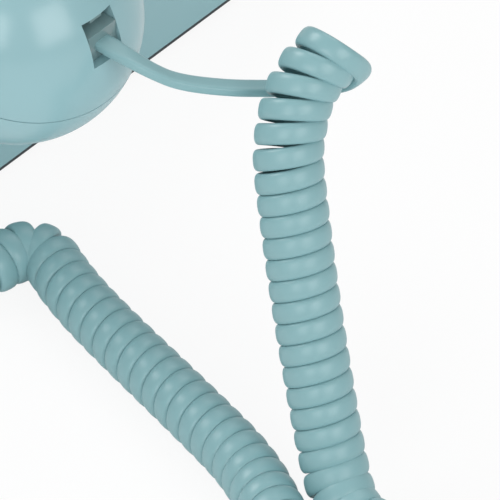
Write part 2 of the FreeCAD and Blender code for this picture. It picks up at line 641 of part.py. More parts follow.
def make_line_jack():
    """The empty wall-line socket on the back of the base."""
    half_w, half_h = LINE_MODULE_WIDTH / 2, LINE_MODULE_HEIGHT / 2
    back_y = wall_y(LINE_JACK_Z + half_h) - WALL / math.cos(WALL_LEAN) - MODULE_CLEARANCE
    module = box((LINE_JACK_X - half_w, back_y - MODULE_LENGTH, LINE_JACK_Z - half_h),
                 (LINE_JACK_X + half_w, back_y, LINE_JACK_Z + half_h))
    cavity = box((LINE_JACK_X - LINE_OPEN_WIDTH / 2, back_y - MODULE_LENGTH + MODULE_FLOOR,
                  LINE_JACK_Z - LINE_OPEN_HEIGHT / 2),
                 (LINE_JACK_X + LINE_OPEN_WIDTH / 2, back_y, LINE_JACK_Z + LINE_OPEN_HEIGHT / 2))
    save("line_jack", module.cut(cavity))


def cup_frame(side):
    """A cup's own frame: its middle at the ball's centre, its local Z up out of the sound face."""
    return Placement(Vector(side * BALL_X, HANDSET_Y, BALL_Z), Rotation(Vector(0, 1, 0), side * CUP_TILT))


def placed(shape, frame):
    """A copy of a shape in another frame."""
    copy = shape.copy()
    copy.Placement = frame.multiply(copy.Placement)
    return copy


def flare(side):
    """The handle's end, which swells into its ball."""
    top = BALL_Z + BALL_R - HANDLE_DROP_FROM_TOP
    spread = BALL_X - HANDLE_STRAIGHT
    sections = []
    for share, width_gain, height_gain in FLARE_STATIONS:
        half_width = HANDLE_HALF_WIDTH + width_gain * (BALL_R - FLARE_SIDE_INSET - HANDLE_HALF_WIDTH)
        half_height = HANDLE_HALF_HEIGHT + height_gain * (BALL_R - FLARE_DEPTH_INSET - HANDLE_HALF_HEIGHT)
        sections.append(oval_wire(side * (HANDLE_STRAIGHT + share * spread), half_width, half_height, top))
    return Part.makeLoft(sections, True, False)


def make_handset():
    """Handle with two ball cups, screwed caps, sound capsules and the cord's jack."""
    top = BALL_Z + BALL_R - HANDLE_DROP_FROM_TOP
    straight = [oval_wire(x, HANDLE_HALF_WIDTH, HANDLE_HALF_HEIGHT, top)
                for x in (-HANDLE_STRAIGHT, HANDLE_STRAIGHT)]
    body = Part.makeLoft(straight, True, True)
    inner_r = BALL_R - BALL_WALL
    for side in (-1, 1):
        body = body.fuse(flare(side))
        body = body.fuse(Part.makeSphere(BALL_R, Vector(side * BALL_X, HANDSET_Y, BALL_Z)))
    seam_inner = math.sqrt(inner_r ** 2 - SEAM_RISE ** 2)
    for side in (-1, 1):
        frame = cup_frame(side)
        reach = 2 * BALL_R
        below = box((-reach, -reach, -reach), (reach, reach, SEAM_RISE))
        keep_out = Part.makeSphere(BALL_R + BALL_WALL).common(below)
        body = body.cut(placed(keep_out, frame))
        body = body.cut(Part.makeSphere(inner_r, Vector(side * BALL_X, HANDSET_Y, BALL_Z)))
        neck_outer = seam_inner - NECK_CLEARANCE - BALL_WALL / 2
        neck = ring(neck_outer, neck_outer - NECK_WALL, SEAM_RISE - NECK_LENGTH, SEAM_RISE + BALL_WALL)
        collar = ring(BALL_R - BALL_WALL / 2, neck_outer - NECK_WALL, SEAM_RISE, SEAM_RISE + BALL_WALL)
        collar = collar.common(Part.makeSphere(BALL_R - BALL_WALL / 2))
        body = body.fuse(placed(neck.fuse(collar), frame))
    end_x = -BALL_X - math.sqrt(BALL_R ** 2 - JACK_RISE ** 2)
    module_x = end_x + JACK_RECESS
    half_w, half_h = MODULE_WIDTH / 2 + MODULE_CLEARANCE, MODULE_HEIGHT / 2 + MODULE_CLEARANCE
    boss = box((end_x, HANDSET_Y - half_w - BOSS_WALL, JACK_Z - half_h - BOSS_WALL),
               (module_x + MODULE_LENGTH, HANDSET_Y + half_w + BOSS_WALL, JACK_Z + half_h + BOSS_WALL))
    upper = box((-2 * BALL_R, -2 * BALL_R, SEAM_RISE), (2 * BALL_R, 2 * BALL_R, 2 * BALL_R))
    boss = boss.common(Part.makeSphere(BALL_R - BALL_WALL / 2, Vector(-BALL_X, HANDSET_Y, BALL_Z)))
    boss = boss.common(placed(upper, cup_frame(-1)))
    body = body.fuse(boss)
    body = body.cut(box((module_x - MODULE_CLEARANCE, HANDSET_Y - half_w, JACK_Z - half_h),
                        (module_x + 2 * MODULE_LENGTH, HANDSET_Y + half_w, JACK_Z + half_h)))
    body = body.cut(jack_opening(HANDSET_Y, JACK_Z, end_x - BALL_WALL, module_x + MODULE_CLEARANCE))
    save("handset_body", body.removeSplitter())
    make_jack_and_plug("handset", module_x, HANDSET_Y, JACK_Z, end_x + PLUG_RECESS)

    make_cap(-1, "mouthpiece_cap", MOUTH_RING_R)
    make_cap(1, "earpiece_cap", EAR_RING_R)
    make_capsule(-1, "mouthpiece_capsule")
    make_capsule(1, "earpiece_capsule")


def make_cap(side, name, hole_ring_r):
    """The lower part of a ball, hollow, with sound holes in its flat face."""
    reach = 2 * BALL_R
    slab = box((-reach, -reach, -FACE_DROP), (reach, reach, SEAM_RISE - SEAM_GAP))
    outer = Part.makeSphere(BALL_R).common(slab)
    outer = outer.makeFillet(FACE_ROUND, level_edges(outer, -FACE_DROP))
    hollow = Part.makeSphere(BALL_R - BALL_WALL).common(
        box((-reach, -reach, -FACE_DROP + BALL_WALL), (reach, reach, reach)))
    cap = outer.cut(hollow)
    holes = [(0.0, 0.0)]
    for count, radius in ((6, hole_ring_r), (12, 2 * hole_ring_r)):
        for i in range(count):
            angle = 2 * math.pi * i / count
            holes.append((radius * math.cos(angle), radius * math.sin(angle)))
    for x, y in holes:
        cap = cap.cut(disc(SOUND_HOLE_R, -FACE_DROP - 1, -FACE_DROP + 2 * BALL_WALL, x, y))
    save(name, placed(cap, cup_frame(side)))


def make_capsule(side, name):
    """A sound capsule: a flat can with a boss on its back."""
    low = -FACE_DROP + BALL_WALL + CAPSULE_CLEARANCE
    can = disc(CAPSULE_R, low, low + CAPSULE_THICKNESS)
    can = can.fuse(disc(CAPSULE_BOSS_R, low, low + CAPSULE_THICKNESS + CAPSULE_BOSS_LENGTH))
    save(name, placed(can.removeSplitter(), cup_frame(side)))


def cord_places(points):
    """The cord's points, set out from the handset's axis."""
    return [Vector(x, HANDSET_Y + y, z) for x, y, z in points]


def rounded_path(points):
    """The edges of straight runs joined by the largest tangent arcs that they allow. Prints the radii."""
    edges = []
    here = points[0]
    radii = []
    for before, corner, after in zip(points, points[1:], points[2:]):
        run_in, run_out = corner - before, after - corner
        turn = run_in.getAngle(run_out)
        cut = LEAD_ARC_SHARE * min(run_in.Length, run_out.Length)
        radii.append(cut / math.tan(turn / 2))
        start = corner - run_in.normalize() * cut
        end = corner + run_out.normalize() * cut
        inward = (start + end) * 0.5 - corner
        rise = radii[-1] * (1 / math.cos(turn / 2) - 1)
        middle = corner + inward.normalize() * rise
        edges.append(Part.LineSegment(here, start).toShape())
        edges.append(Part.Arc(start, middle, end).toShape())
        here = end
    edges.append(Part.LineSegment(here, points[-1]).toShape())
    print("cord radii", [round(r, 1) for r in radii])
    return edges


def tube(path, start, along):
    """A round tube along a path, with its volume set against section times length."""
    section = Part.Wire([Part.makeCircle(CORD_D / 2, start, along)])
    shell = Part.BRepOffsetAPI.MakePipeShell(path)
    shell.add(section)
    shell.build()
    shell.makeSolid()
    solid = shell.shape()
    print("tube volume ratio", round(solid.Volume / (math.pi * CORD_D ** 2 / 4 * path.Length), 4))
    return solid


def coil_axis():
    """The coil's middle line: a quadratic curve steered by the axis points."""
    poles = cord_places(COIL_AXIS_POINTS)
    spans = len(poles) - 2
    curve = Part.BSplineCurve()
    curve.buildFromPolesMultsKnots(poles, [3] + [1] * (spans - 1) + [3], list(range(spans + 1)), False, 2)
    return curve


class CoilLine:
    """The coil's helix. Its turns open out where the axis bends, so that none overlap inside the bend."""

    def __init__(self, curve, radius):
        self.radius = radius
        self.length = curve.length()
        self.count = int(self.length / AXIS_STEP)
        self.points, self.tangents = [], []
        for i in range(self.count + 1):
            place = curve.parameterAtDistance(self.length * i / self.count, curve.FirstParameter)
            self.points.append(curve.value(place))
            self.tangents.append(Vector(*curve.tangent(place)[0]).normalize())
        self.sides = self.carried_sides()
        self.turns = self.wound_turns()

    def carried_sides(self):
        """One cross direction at each point, carried along the axis without twist."""
        side = self.tangents[0].cross(Vector(0, 0, 1)).normalize()
        sides = [side]
        for here, following in zip(self.tangents, self.tangents[1:]):
            turn = Rotation(here, following)
            side = turn.multVec(side)
            side = (side - following * side.dot(following)).normalize()
            sides.append(side)
        return sides

    def angle_of(self, direction, i):
        """A direction's angle round the axis at a point, in turns."""
        side = self.sides[i]
        across = self.tangents[i].cross(side)
        return math.atan2(direction.dot(across), direction.dot(side)) / (2 * math.pi)

    def wound_turns(self):
        """The turn count at each point, stretched a little to start and end on the two chosen sides."""
        step = self.length / self.count
        bend = [(b - a).Length / (2 * step) for a, b in zip(self.tangents, self.tangents[2:])]
        bend = bend[:1] + bend + bend[-1:]
        reach = int(COIL_PITCH / step / 2)
        turns = [0.0]
        for i in range(self.count):
            near = bend[max(i - reach, 0):i + reach + 1]
            closing = BEND_ROOM * self.radius * sum(near) / len(near)
            turns.append(turns[-1] + step / COIL_PITCH * (1 - closing))
        start = self.angle_of(Vector(*COIL_START_SIDE), 0)
        spare = self.angle_of(Vector(*COIL_END_SIDE), self.count) - start
        total = round(turns[-1] - spare) + spare
        return [start + t * total / turns[-1] for t in turns]

    def index_at(self, turn):
        """The place along the axis, in steps, where the helix has made so many turns."""
        low, high = 0, self.count
        while high - low > 1:
            middle = (low + high) // 2
            low, high = (middle, high) if self.turns[middle] <= turn else (low, middle)
        span = self.turns[high] - self.turns[low]
        return low + (turn - self.turns[low]) / span

    def point_at(self, turn):
        """A point of the helix."""
        place = self.index_at(turn)
        i = max(0, min(int(place), self.count - 1))
        share = place - i
        point = self.points[i] * (1 - share) + self.points[i + 1] * share
        side = self.sides[i] * (1 - share) + self.sides[i + 1] * share
        tangent = self.tangents[i] * (1 - share) + self.tangents[i + 1] * share
        angle = 2 * math.pi * turn
        return point + (side * math.cos(angle) + tangent.cross(side) * math.sin(angle)) * self.radius

    def heading_at(self, turn):
        """The helix's direction at a point."""
        return (self.point_at(turn + HEADING_STEP) - self.point_at(turn - HEADING_STEP)).normalize()

    def stops(self, per_turn):
        """Turn values from end to end, evenly spaced, about so many to a turn."""
        first, last = self.turns[0], self.turns[-1]
        count = round((last - first) * per_turn)
        return [first + (last - first) * i / count for i in range(count + 1)]


def arc_from(start, along, end):
    """The circular arc that leaves start in a direction and reaches end."""
    chord = end - start
    straight = Vector(chord).normalize()
    lean = along.dot(straight)
    across = (along - straight * lean).normalize()
    half_turn = math.acos(max(-1.0, min(1.0, lean)))
    middle = (start + end) * 0.5 + across * (chord.Length / 2 * math.tan(half_turn / 2))
    return Part.Arc(start, middle, end).toShape()


def biarc(p, t, q, u):
    """Two arcs that join p, heading along t, to q, heading along u."""
    v = q - p
    total = t + u
    a = 2 * (1 - t.dot(u))
    b = v.dot(total)
    reach = (-b + math.sqrt(b * b + a * v.dot(v))) / a
    joint = (p + q + (t - u) * reach) * 0.5
    heading = (joint - p - t * reach).normalize()
    first = arc_from(p, t, joint)
    last = arc_from(joint, heading if heading.dot(v) > 0 else heading * -1, q)
    return [first, last]


def make_cord():
    """The curly coil and its two leads. The handset's lead parts on a straight run, where it lifts away."""
    line = CoilLine(coil_axis(), (COIL_OUTER_D - CORD_D) / 2)
    stops = line.stops(STEPS_PER_TURN)
    print("coil turns", round(stops[-1] - stops[0], 2), "axis length", round(line.length, 1))
    points = [line.point_at(t) for t in stops]
    headings = [line.heading_at(t) for t in stops]
    handset_exit, base_exit = plug_exits()
    inner = cord_places(HANDSET_LEAD_POINTS)
    parting = (inner[HANDSET_LEAD_SHARE - 1] + inner[HANDSET_LEAD_SHARE]) * 0.5
    route = [handset_exit, handset_exit - Vector(HANDSET_LEAD_EXIT, 0, 0)]
    route += inner[:HANDSET_LEAD_SHARE] + [parting]
    save("cord_lead_handset", tube(Part.Wire(rounded_path(route)), handset_exit, Vector(-1, 0, 0)))

    route = [parting] + inner[HANDSET_LEAD_SHARE:]
    route += [points[0] - headings[0] * HANDSET_LEAD_JOIN, points[0]]
    edges = rounded_path(route)
    for p, q, t, u in zip(points, points[1:], headings, headings[1:]):
        edges += biarc(p, t, q, u)
    end = points[-1] + headings[-1] * CORD_D
    edges.append(Part.LineSegment(points[-1], end).toShape())
    path = Part.Wire(edges)
    coil = tube(path, parting, route[1] - parting)
    save("cord_coil", coil)
    lowest = coil.optimalBoundingBox(False).ZMin
    print("coil cord length", round(path.Length, 1), "lowest", round(lowest, 2))
    print("coil least gap to itself", round(least_gap(path), 2))

    route = [base_exit, base_exit - Vector(BASE_LEAD_EXIT, 0, 0), end + headings[-1] * BASE_LEAD_JOIN, end]
    save("cord_lead_base", tube(Part.Wire(rounded_path(route)), base_exit, Vector(-1, 0, 0)))


def least_gap(path):
    """Least surface gap between stretches of the coil's tube that are over half a turn apart."""
    turn_length = math.pi * (COIL_OUTER_D - CORD_D)
    points = path.discretize(round(path.Length / turn_length * GAP_POINTS_PER_TURN))
    near = GAP_POINTS_PER_TURN // 2
    least = min((p - q).Length for i, p in enumerate(points) for q in points[i + near:])
    return least - CORD_D


def plug_exits():
    """Where the cord leaves the two plugs."""
    end_x = -BALL_X - math.sqrt(BALL_R ** 2 - JACK_RISE ** 2)
    handset = Vector(end_x + PLUG_RECESS, HANDSET_Y, JACK_Z - PLUG_DROP)
    base = Vector(base_plug_end(), BASE_JACK_Y, BASE_JACK_Z - PLUG_DROP)
    return handset, base


def base_plug_end():
    """The cord end of the base's plug, a little proud of the wall."""
    return -wall_x(BASE_JACK_Z - PLUG_DROP) - BASE_PLUG_PROUD


make_base()
make_dial()
make_hook()
make_inside()
make_handset()
base_module_x = -wall_x(BASE_JACK_Z + MODULE_HEIGHT / 2) + WALL / math.cos(WALL_LEAN) + MODULE_CLEARANCE
make_jack_and_plug("base", base_module_x, BASE_JACK_Y, BASE_JACK_Z, base_plug_end())
make_line_jack()
make_cord()
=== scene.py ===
"""Looks of a compact bedroom telephone: a ball-ended handset on its base, with a curly cord.

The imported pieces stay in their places. Here the outer ones get smooth surfaces, every piece gets the
material it is made of, the cord is wound as one flat ribbon, the keys get their figures, and the camera
and the studio are set up.
"""
from __future__ import annotations

import json
import logging
import math
from dataclasses import dataclass, field
from enum import Enum

import bmesh
import bpy
import numpy as np
from mathutils import Matrix, Vector

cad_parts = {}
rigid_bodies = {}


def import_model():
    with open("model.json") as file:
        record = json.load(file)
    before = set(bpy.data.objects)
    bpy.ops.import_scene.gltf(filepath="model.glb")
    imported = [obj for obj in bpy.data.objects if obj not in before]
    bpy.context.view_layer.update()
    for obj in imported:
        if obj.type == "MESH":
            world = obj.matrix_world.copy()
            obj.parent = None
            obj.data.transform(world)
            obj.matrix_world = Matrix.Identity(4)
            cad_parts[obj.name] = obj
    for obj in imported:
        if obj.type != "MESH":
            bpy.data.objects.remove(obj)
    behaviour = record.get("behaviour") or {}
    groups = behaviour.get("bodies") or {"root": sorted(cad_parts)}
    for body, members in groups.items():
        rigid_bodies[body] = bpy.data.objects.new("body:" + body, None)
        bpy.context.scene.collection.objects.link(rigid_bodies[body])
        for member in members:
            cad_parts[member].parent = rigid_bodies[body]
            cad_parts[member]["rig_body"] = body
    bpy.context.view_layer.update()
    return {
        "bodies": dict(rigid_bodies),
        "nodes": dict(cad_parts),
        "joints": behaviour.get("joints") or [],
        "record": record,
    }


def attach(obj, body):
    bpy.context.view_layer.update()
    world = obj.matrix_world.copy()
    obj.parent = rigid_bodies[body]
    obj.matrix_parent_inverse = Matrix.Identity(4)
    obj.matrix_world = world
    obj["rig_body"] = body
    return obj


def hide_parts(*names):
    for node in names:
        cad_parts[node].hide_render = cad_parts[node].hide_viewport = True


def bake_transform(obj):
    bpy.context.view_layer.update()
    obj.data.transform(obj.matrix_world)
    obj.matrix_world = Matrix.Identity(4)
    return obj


log = logging.getLogger("telephone")

MM = 0.001
# How many points each span of a spline is read at.
CURVE_STEPS = 48
# The length of one ring of the wave texture at a scale of one.
WAVE_PERIOD = 0.314
# Edges of drawn pieces that turn by more than this stay sharp.
DRAWN_CREASE = math.radians(50)
# The dial's middle and how far its face leans towards the user, as in the part.
DIAL_CENTRE_MM = (0.0, -30.95, 39.5)
DIAL_LEAN = math.radians(31.0)
CORD_NODES = ("cord_coil", "cord_lead_handset", "cord_lead_base")
CORD_ENDS = ("handset_plug", "handset_plug_contacts", "base_plug", "base_plug_contacts")


class Slot(str, Enum):
    """The material slots of the part's record."""

    SHELL = "shell"
    CORD = "cord"
    CLEAR_PLUG = "clear_plug"
    GOLD_CONTACTS = "gold_contacts"
    DARK_PLASTIC = "dark_plastic"
    DIAL_METAL = "dial_metal"
    BRIGHT_TRIM = "bright_trim"
    KEY_PLASTIC = "key_plastic"
    BLACK_RUBBER = "black_rubber"
    PLATED_STEEL = "plated_steel"
    BELL_METAL = "bell_metal"
    BOARD = "board"
    WINDING = "winding"


def linear(colour: str) -> tuple[float, float, float, float]:
    """Turn an sRGB hex colour into the linear colour that shaders use.

    Args:
        colour: The colour as "#rrggbb".

    Returns:
        Linear red, green, blue and an alpha of one.
    """
    channels = np.array([int(colour[i:i + 2], 16) for i in (1, 3, 5)]) / 255
    curve = np.where(channels <= 0.04045, channels / 12.92, ((channels + 0.055) / 1.055) ** 2.4)
    red, green, blue = curve.tolist()
    return red, green, blue, 1.0


def add_node(
    tree: bpy.types.NodeTree, kind: str, inputs: dict | None = None, **settings: object
) -> bpy.types.Node:
    """Add one node, set it and join it up.

    Args:
        tree: The node tree to add to.
        kind: The node's type name.
        inputs: Values for its input sockets, by name or number. A socket as a value is linked.
        settings: The node's own properties.

    Returns:
        The new node.
    """
    node = tree.nodes.new(kind)
    for name, value in settings.items():
        setattr(node, name, value)
    for socket, value in (inputs or {}).items():
        if isinstance(value, bpy.types.NodeSocket):
            tree.links.new(value, node.inputs[socket])
        else:
            node.inputs[socket].default_value = value
    return node


@dataclass(frozen=True)
class Finish:
    """A material: its colour, how it takes the light, and the grain of its surface.

    The sheen's spread is how far the roughness strays to either side, in patches of the size given.
    """

    name: str
    colour: str
    roughness: float
    metallic: float = 0.0
    grain_mm: float = 1.0
    grain_depth_mm: float = 0.0
    sheen_spread: float = 0.0
    patch_mm: float = 18.0

    def material(self) -> bpy.types.Material:
        """Build the material.

        Returns:
            The new material, with its nodes joined up.
        """
        material = bpy.data.materials.new(self.name)
        material.use_nodes = True
        tree = material.node_tree
        shader = tree.nodes["Principled BSDF"]
        shader.inputs["Base Color"].default_value = linear(self.colour)
        shader.inputs["Roughness"].default_value = self.roughness
        shader.inputs["Metallic"].default_value = self.metallic
        self.detail(tree, shader)
        return material

    def detail(self, tree: bpy.types.NodeTree, shader: bpy.types.Node) -> None:
        """Add the surface's grain and an uneven sheen.

        Args:
            tree: The material's node tree.
            shader: The shader that takes the detail.
        """
        place = add_node(tree, "ShaderNodeTexCoord").outputs["Object"]
        grain = add_node(
            tree, "ShaderNodeTexNoise", {"Vector": place, "Scale": 1 / (self.grain_mm * MM), "Detail": 3.0}
        )
        bump = add_node(
            tree,
            "ShaderNodeBump",
            {"Height": grain.outputs["Fac"], "Distance": self.grain_depth_mm * MM, "Strength": 1.0},
        )
        tree.links.new(bump.outputs["Normal"], shader.inputs["Normal"])
        if self.sheen_spread:
            patches = add_node(
                tree,
                "ShaderNodeTexNoise",
                {"Vector": place, "Scale": 1 / (self.patch_mm * MM), "Detail": 2.0},
            )
            sheen = add_node(
                tree,
                "ShaderNodeMapRange",
                {
                    "Value": patches.outputs["Fac"],
                    "To Min": self.roughness - self.sheen_spread,
                    "To Max": self.roughness + self.sheen_spread,
                },
            )
            tree.links.new(sheen.outputs["Result"], shader.inputs["Roughness"])


@dataclass(frozen=True)
class ClearFinish(Finish):
    """Clear moulded plastic that light goes through."""

    index: float = 1.58
    clearness: float = 0.55

    def detail(self, tree: bpy.types.NodeTree, shader: bpy.types.Node) -> None:
        """Let the light through, over the plain grain.

        Args:
            tree: The material's node tree.
            shader: The shader that takes the detail.
        """
        super().detail(tree, shader)
        shader.inputs["Transmission Weight"].default_value = self.clearness
        shader.inputs["IOR"].default_value = self.index


@dataclass(frozen=True)
class SpunFinish(Finish):
    """Metal turned on a lathe: fine rings round the dial's middle."""

    centre_mm: tuple[float, float, float] = (0.0, 0.0, 0.0)
    lean: float = 0.0
    ring_mm: float = 0.35
    anisotropy: float = 0.7

    def detail(self, tree: bpy.types.NodeTree, shader: bpy.types.Node) -> None:
        """Cut the rings into the surface and let them spread the light.

        Args:
            tree: The material's node tree.
            shader: The shader that takes the detail.
        """
        place = add_node(tree, "ShaderNodeTexCoord").outputs["Object"]
        dial = add_node(
            tree,
            "ShaderNodeMapping",
            {
                "Vector": place,
                "Location": Vector(self.centre_mm) * MM,
                "Rotation": (self.lean, 0.0, 0.0),
            },
            vector_type="TEXTURE",
        )
        rings = add_node(
            tree,
            "ShaderNodeTexWave",
            {
                "Vector": dial.outputs["Vector"],
                "Scale": WAVE_PERIOD / (self.ring_mm * MM),
                "Distortion": 0.4,
                "Detail": 2.0,
            },
            wave_type="RINGS",
            rings_direction="Z",
        )
        bump = add_node(
            tree,
            "ShaderNodeBump",
            {"Height": rings.outputs["Fac"], "Distance": self.grain_depth_mm * MM, "Strength": 1.0},
        )
        tangent = add_node(tree, "ShaderNodeTangent", direction_type="RADIAL", axis="Z")
        shader.inputs["Anisotropic"].default_value = self.anisotropy
        tree.links.new(tangent.outputs["Tangent"], shader.inputs["Tangent"])
        tree.links.new(bump.outputs["Normal"], shader.inputs["Normal"])


FINISHES: dict[Slot, Finish] = {
    # Pale blue-green moulded ABS: a smooth gloss skin whose slight waviness softens reflections.
    Slot.SHELL: Finish(
        "moulded_abs", "#94bbc1", 0.22, grain_mm=9.0, grain_depth_mm=0.012, sheen_spread=0.04
    ),
    # Soft vinyl of the cord: nearly the same colour, a little deeper, with a softer shine.
    Slot.CORD: Finish(
        "cord_vinyl", "#88b1b6", 0.36, grain_mm=1.2, grain_depth_mm=0.008, sheen_spread=0.1
    ),
    # Clear polycarbonate of the modular plugs, which the cord's colour shows through.
    Slot.CLEAR_PLUG: ClearFinish(
        "clear_polycarbonate", "#a9cdd0", 0.2, grain_mm=1.5, grain_depth_mm=0.004
    ),
    # Gold flashed on the plugs' contacts: thin, warm and bright.
    Slot.GOLD_CONTACTS: Finish("gold_flash", "#d9ad5a", 0.22, 1.0, grain_mm=0.5, grain_depth_mm=0.002),
    # Dark plastic with a spark-eroded texture, which breaks up its reflections.
    Slot.DARK_PLASTIC: Finish(
        "textured_dark_plastic", "#3a4144", 0.55, grain_mm=0.4, grain_depth_mm=0.02
    ),
    # Aluminium turned on a lathe: rings that draw the light into two fans.
    Slot.DIAL_METAL: SpunFinish(
        "spun_aluminium",
        "#c9cccd",
        0.32,
        1.0,
        grain_depth_mm=0.004,
        centre_mm=DIAL_CENTRE_MM,
        lean=DIAL_LEAN,
    ),
    # Chrome on the dial's rim, a near mirror.
    Slot.BRIGHT_TRIM: Finish("chrome_plate", "#dcdfe0", 0.07, 1.0, grain_mm=4.0, grain_depth_mm=0.003),
    # Warm white keys moulded in gloss plastic.
    Slot.KEY_PLASTIC: Finish("ivory_key_plastic", "#e9e6da", 0.25, grain_mm=1.6, grain_depth_mm=0.004),
    # Rubber feet: dull and a little dusty.
    Slot.BLACK_RUBBER: Finish("foot_rubber", "#1d1e1f", 0.8, grain_mm=0.6, grain_depth_mm=0.03),
    # Zinc plate on pressed steel, with a mottled sheen.
    Slot.PLATED_STEEL: Finish(
        "zinc_plated_steel", "#b4b8b9", 0.38, 1.0, grain_mm=3.0, grain_depth_mm=0.006
    ),
    # Nickelled brass of the bell: bright, with the brass showing warm through the plate.
    Slot.BELL_METAL: Finish("nickelled_brass", "#c8bda2", 0.2, 1.0, grain_mm=4.0, grain_depth_mm=0.004),
    # Paper and resin board with a faint weave.
    Slot.BOARD: Finish("resin_board", "#8a6a3c", 0.6, grain_mm=0.8, grain_depth_mm=0.02),
    # Enamelled copper wire: brown-red, shiny along each strand.
    Slot.WINDING: Finish("enamelled_copper", "#8f3f22", 0.4, grain_mm=0.5, grain_depth_mm=0.05),
}

# Moulded nylon of the jacks: dull, with painted light. It is paler than the other dark plastic so that the
# jacks' shaded recesses look lit.
JACK_PAINTED_LIGHT_FINISH = Finish("jack_nylon_painted_light", "#8f9899", 0.5, grain_mm=0.4, grain_depth_mm=0.01)
JACKS = ("handset_jack", "base_jack", "line_jack")


def unit(vectors: np.ndarray) -> np.ndarray:
    """Scale vectors to a length of one.

    Args:
        vectors: Vectors in the last axis.

    Returns:
        The unit vectors.
    """
    return vectors / np.linalg.norm(vectors, axis=-1, keepdims=True)


def square_to(vectors: np.ndarray, along: np.ndarray) -> np.ndarray:
    """The part of some vectors that is square to others, as unit vectors.

    Args:
        vectors: The vectors.
        along: Unit vectors to be square to.

    Returns:
        Unit vectors square to along.
    """
    return unit(vectors - along * np.sum(vectors * along, axis=-1, keepdims=True))


@dataclass
class Route:
    """A smooth line in space, read from a NURBS spline and spaced evenly."""

    points: np.ndarray
    length: float = field(init=False)
    heading: np.ndarray = field(init=False)

    def __post_init__(self) -> None:
        """Work out the length and the heading at each point."""
        self.length = float(np.linalg.norm(np.diff(self.points, axis=0), axis=1).sum())
        self.heading = unit(np.gradient(self.points, axis=0))

    @classmethod
    def from_controls(cls, name: str, controls: np.ndarray, step: float) -> Route:
        """Read a route from its control points.

        Args:
            name: A name for the spline while it is read.
            controls: Control points in metres.
            step: The spacing of the points wanted, in metres.

        Returns:
            The route, with evenly spaced points.
        """
        curve = bpy.data.curves.new(name, "CURVE")
        curve.dimensions = "3D"
        curve.resolution_u = CURVE_STEPS
        spline = curve.splines.new("NURBS")
        spline.points.add(len(controls) - 1)
        spline.points.foreach_set("co", np.column_stack([controls, np.ones(len(controls))]).ravel())
        spline.order_u = 3
        spline.use_endpoint_u = True
        holder = bpy.data.objects.new(name, curve)
        mesh = bpy.data.meshes.new_from_object(holder)
        flat = np.empty(3 * len(mesh.vertices))
        mesh.vertices.foreach_get("co", flat)
        bpy.data.meshes.remove(mesh)
        bpy.data.objects.remove(holder)
        bpy.data.curves.remove(curve)
        return cls(evenly_spaced(flat.reshape(-1, 3), step))


def evenly_spaced(points: np.ndarray, step: float) -> np.ndarray:
    """Space the points of a line evenly.

    Args:
        points: Points along the line.
        step: The spacing wanted.

    Returns:
        Points from end to end, as near to that spacing as fits.
    """
    gaps = np.linalg.norm(np.diff(points, axis=0), axis=1)
    reach = np.concatenate([[0.0], np.cumsum(gaps)])
    places = np.linspace(0.0, reach[-1], max(int(round(reach[-1] / step)), 2) + 1)
    return np.column_stack([np.interp(places, reach, points[:, k]) for k in range(3)])


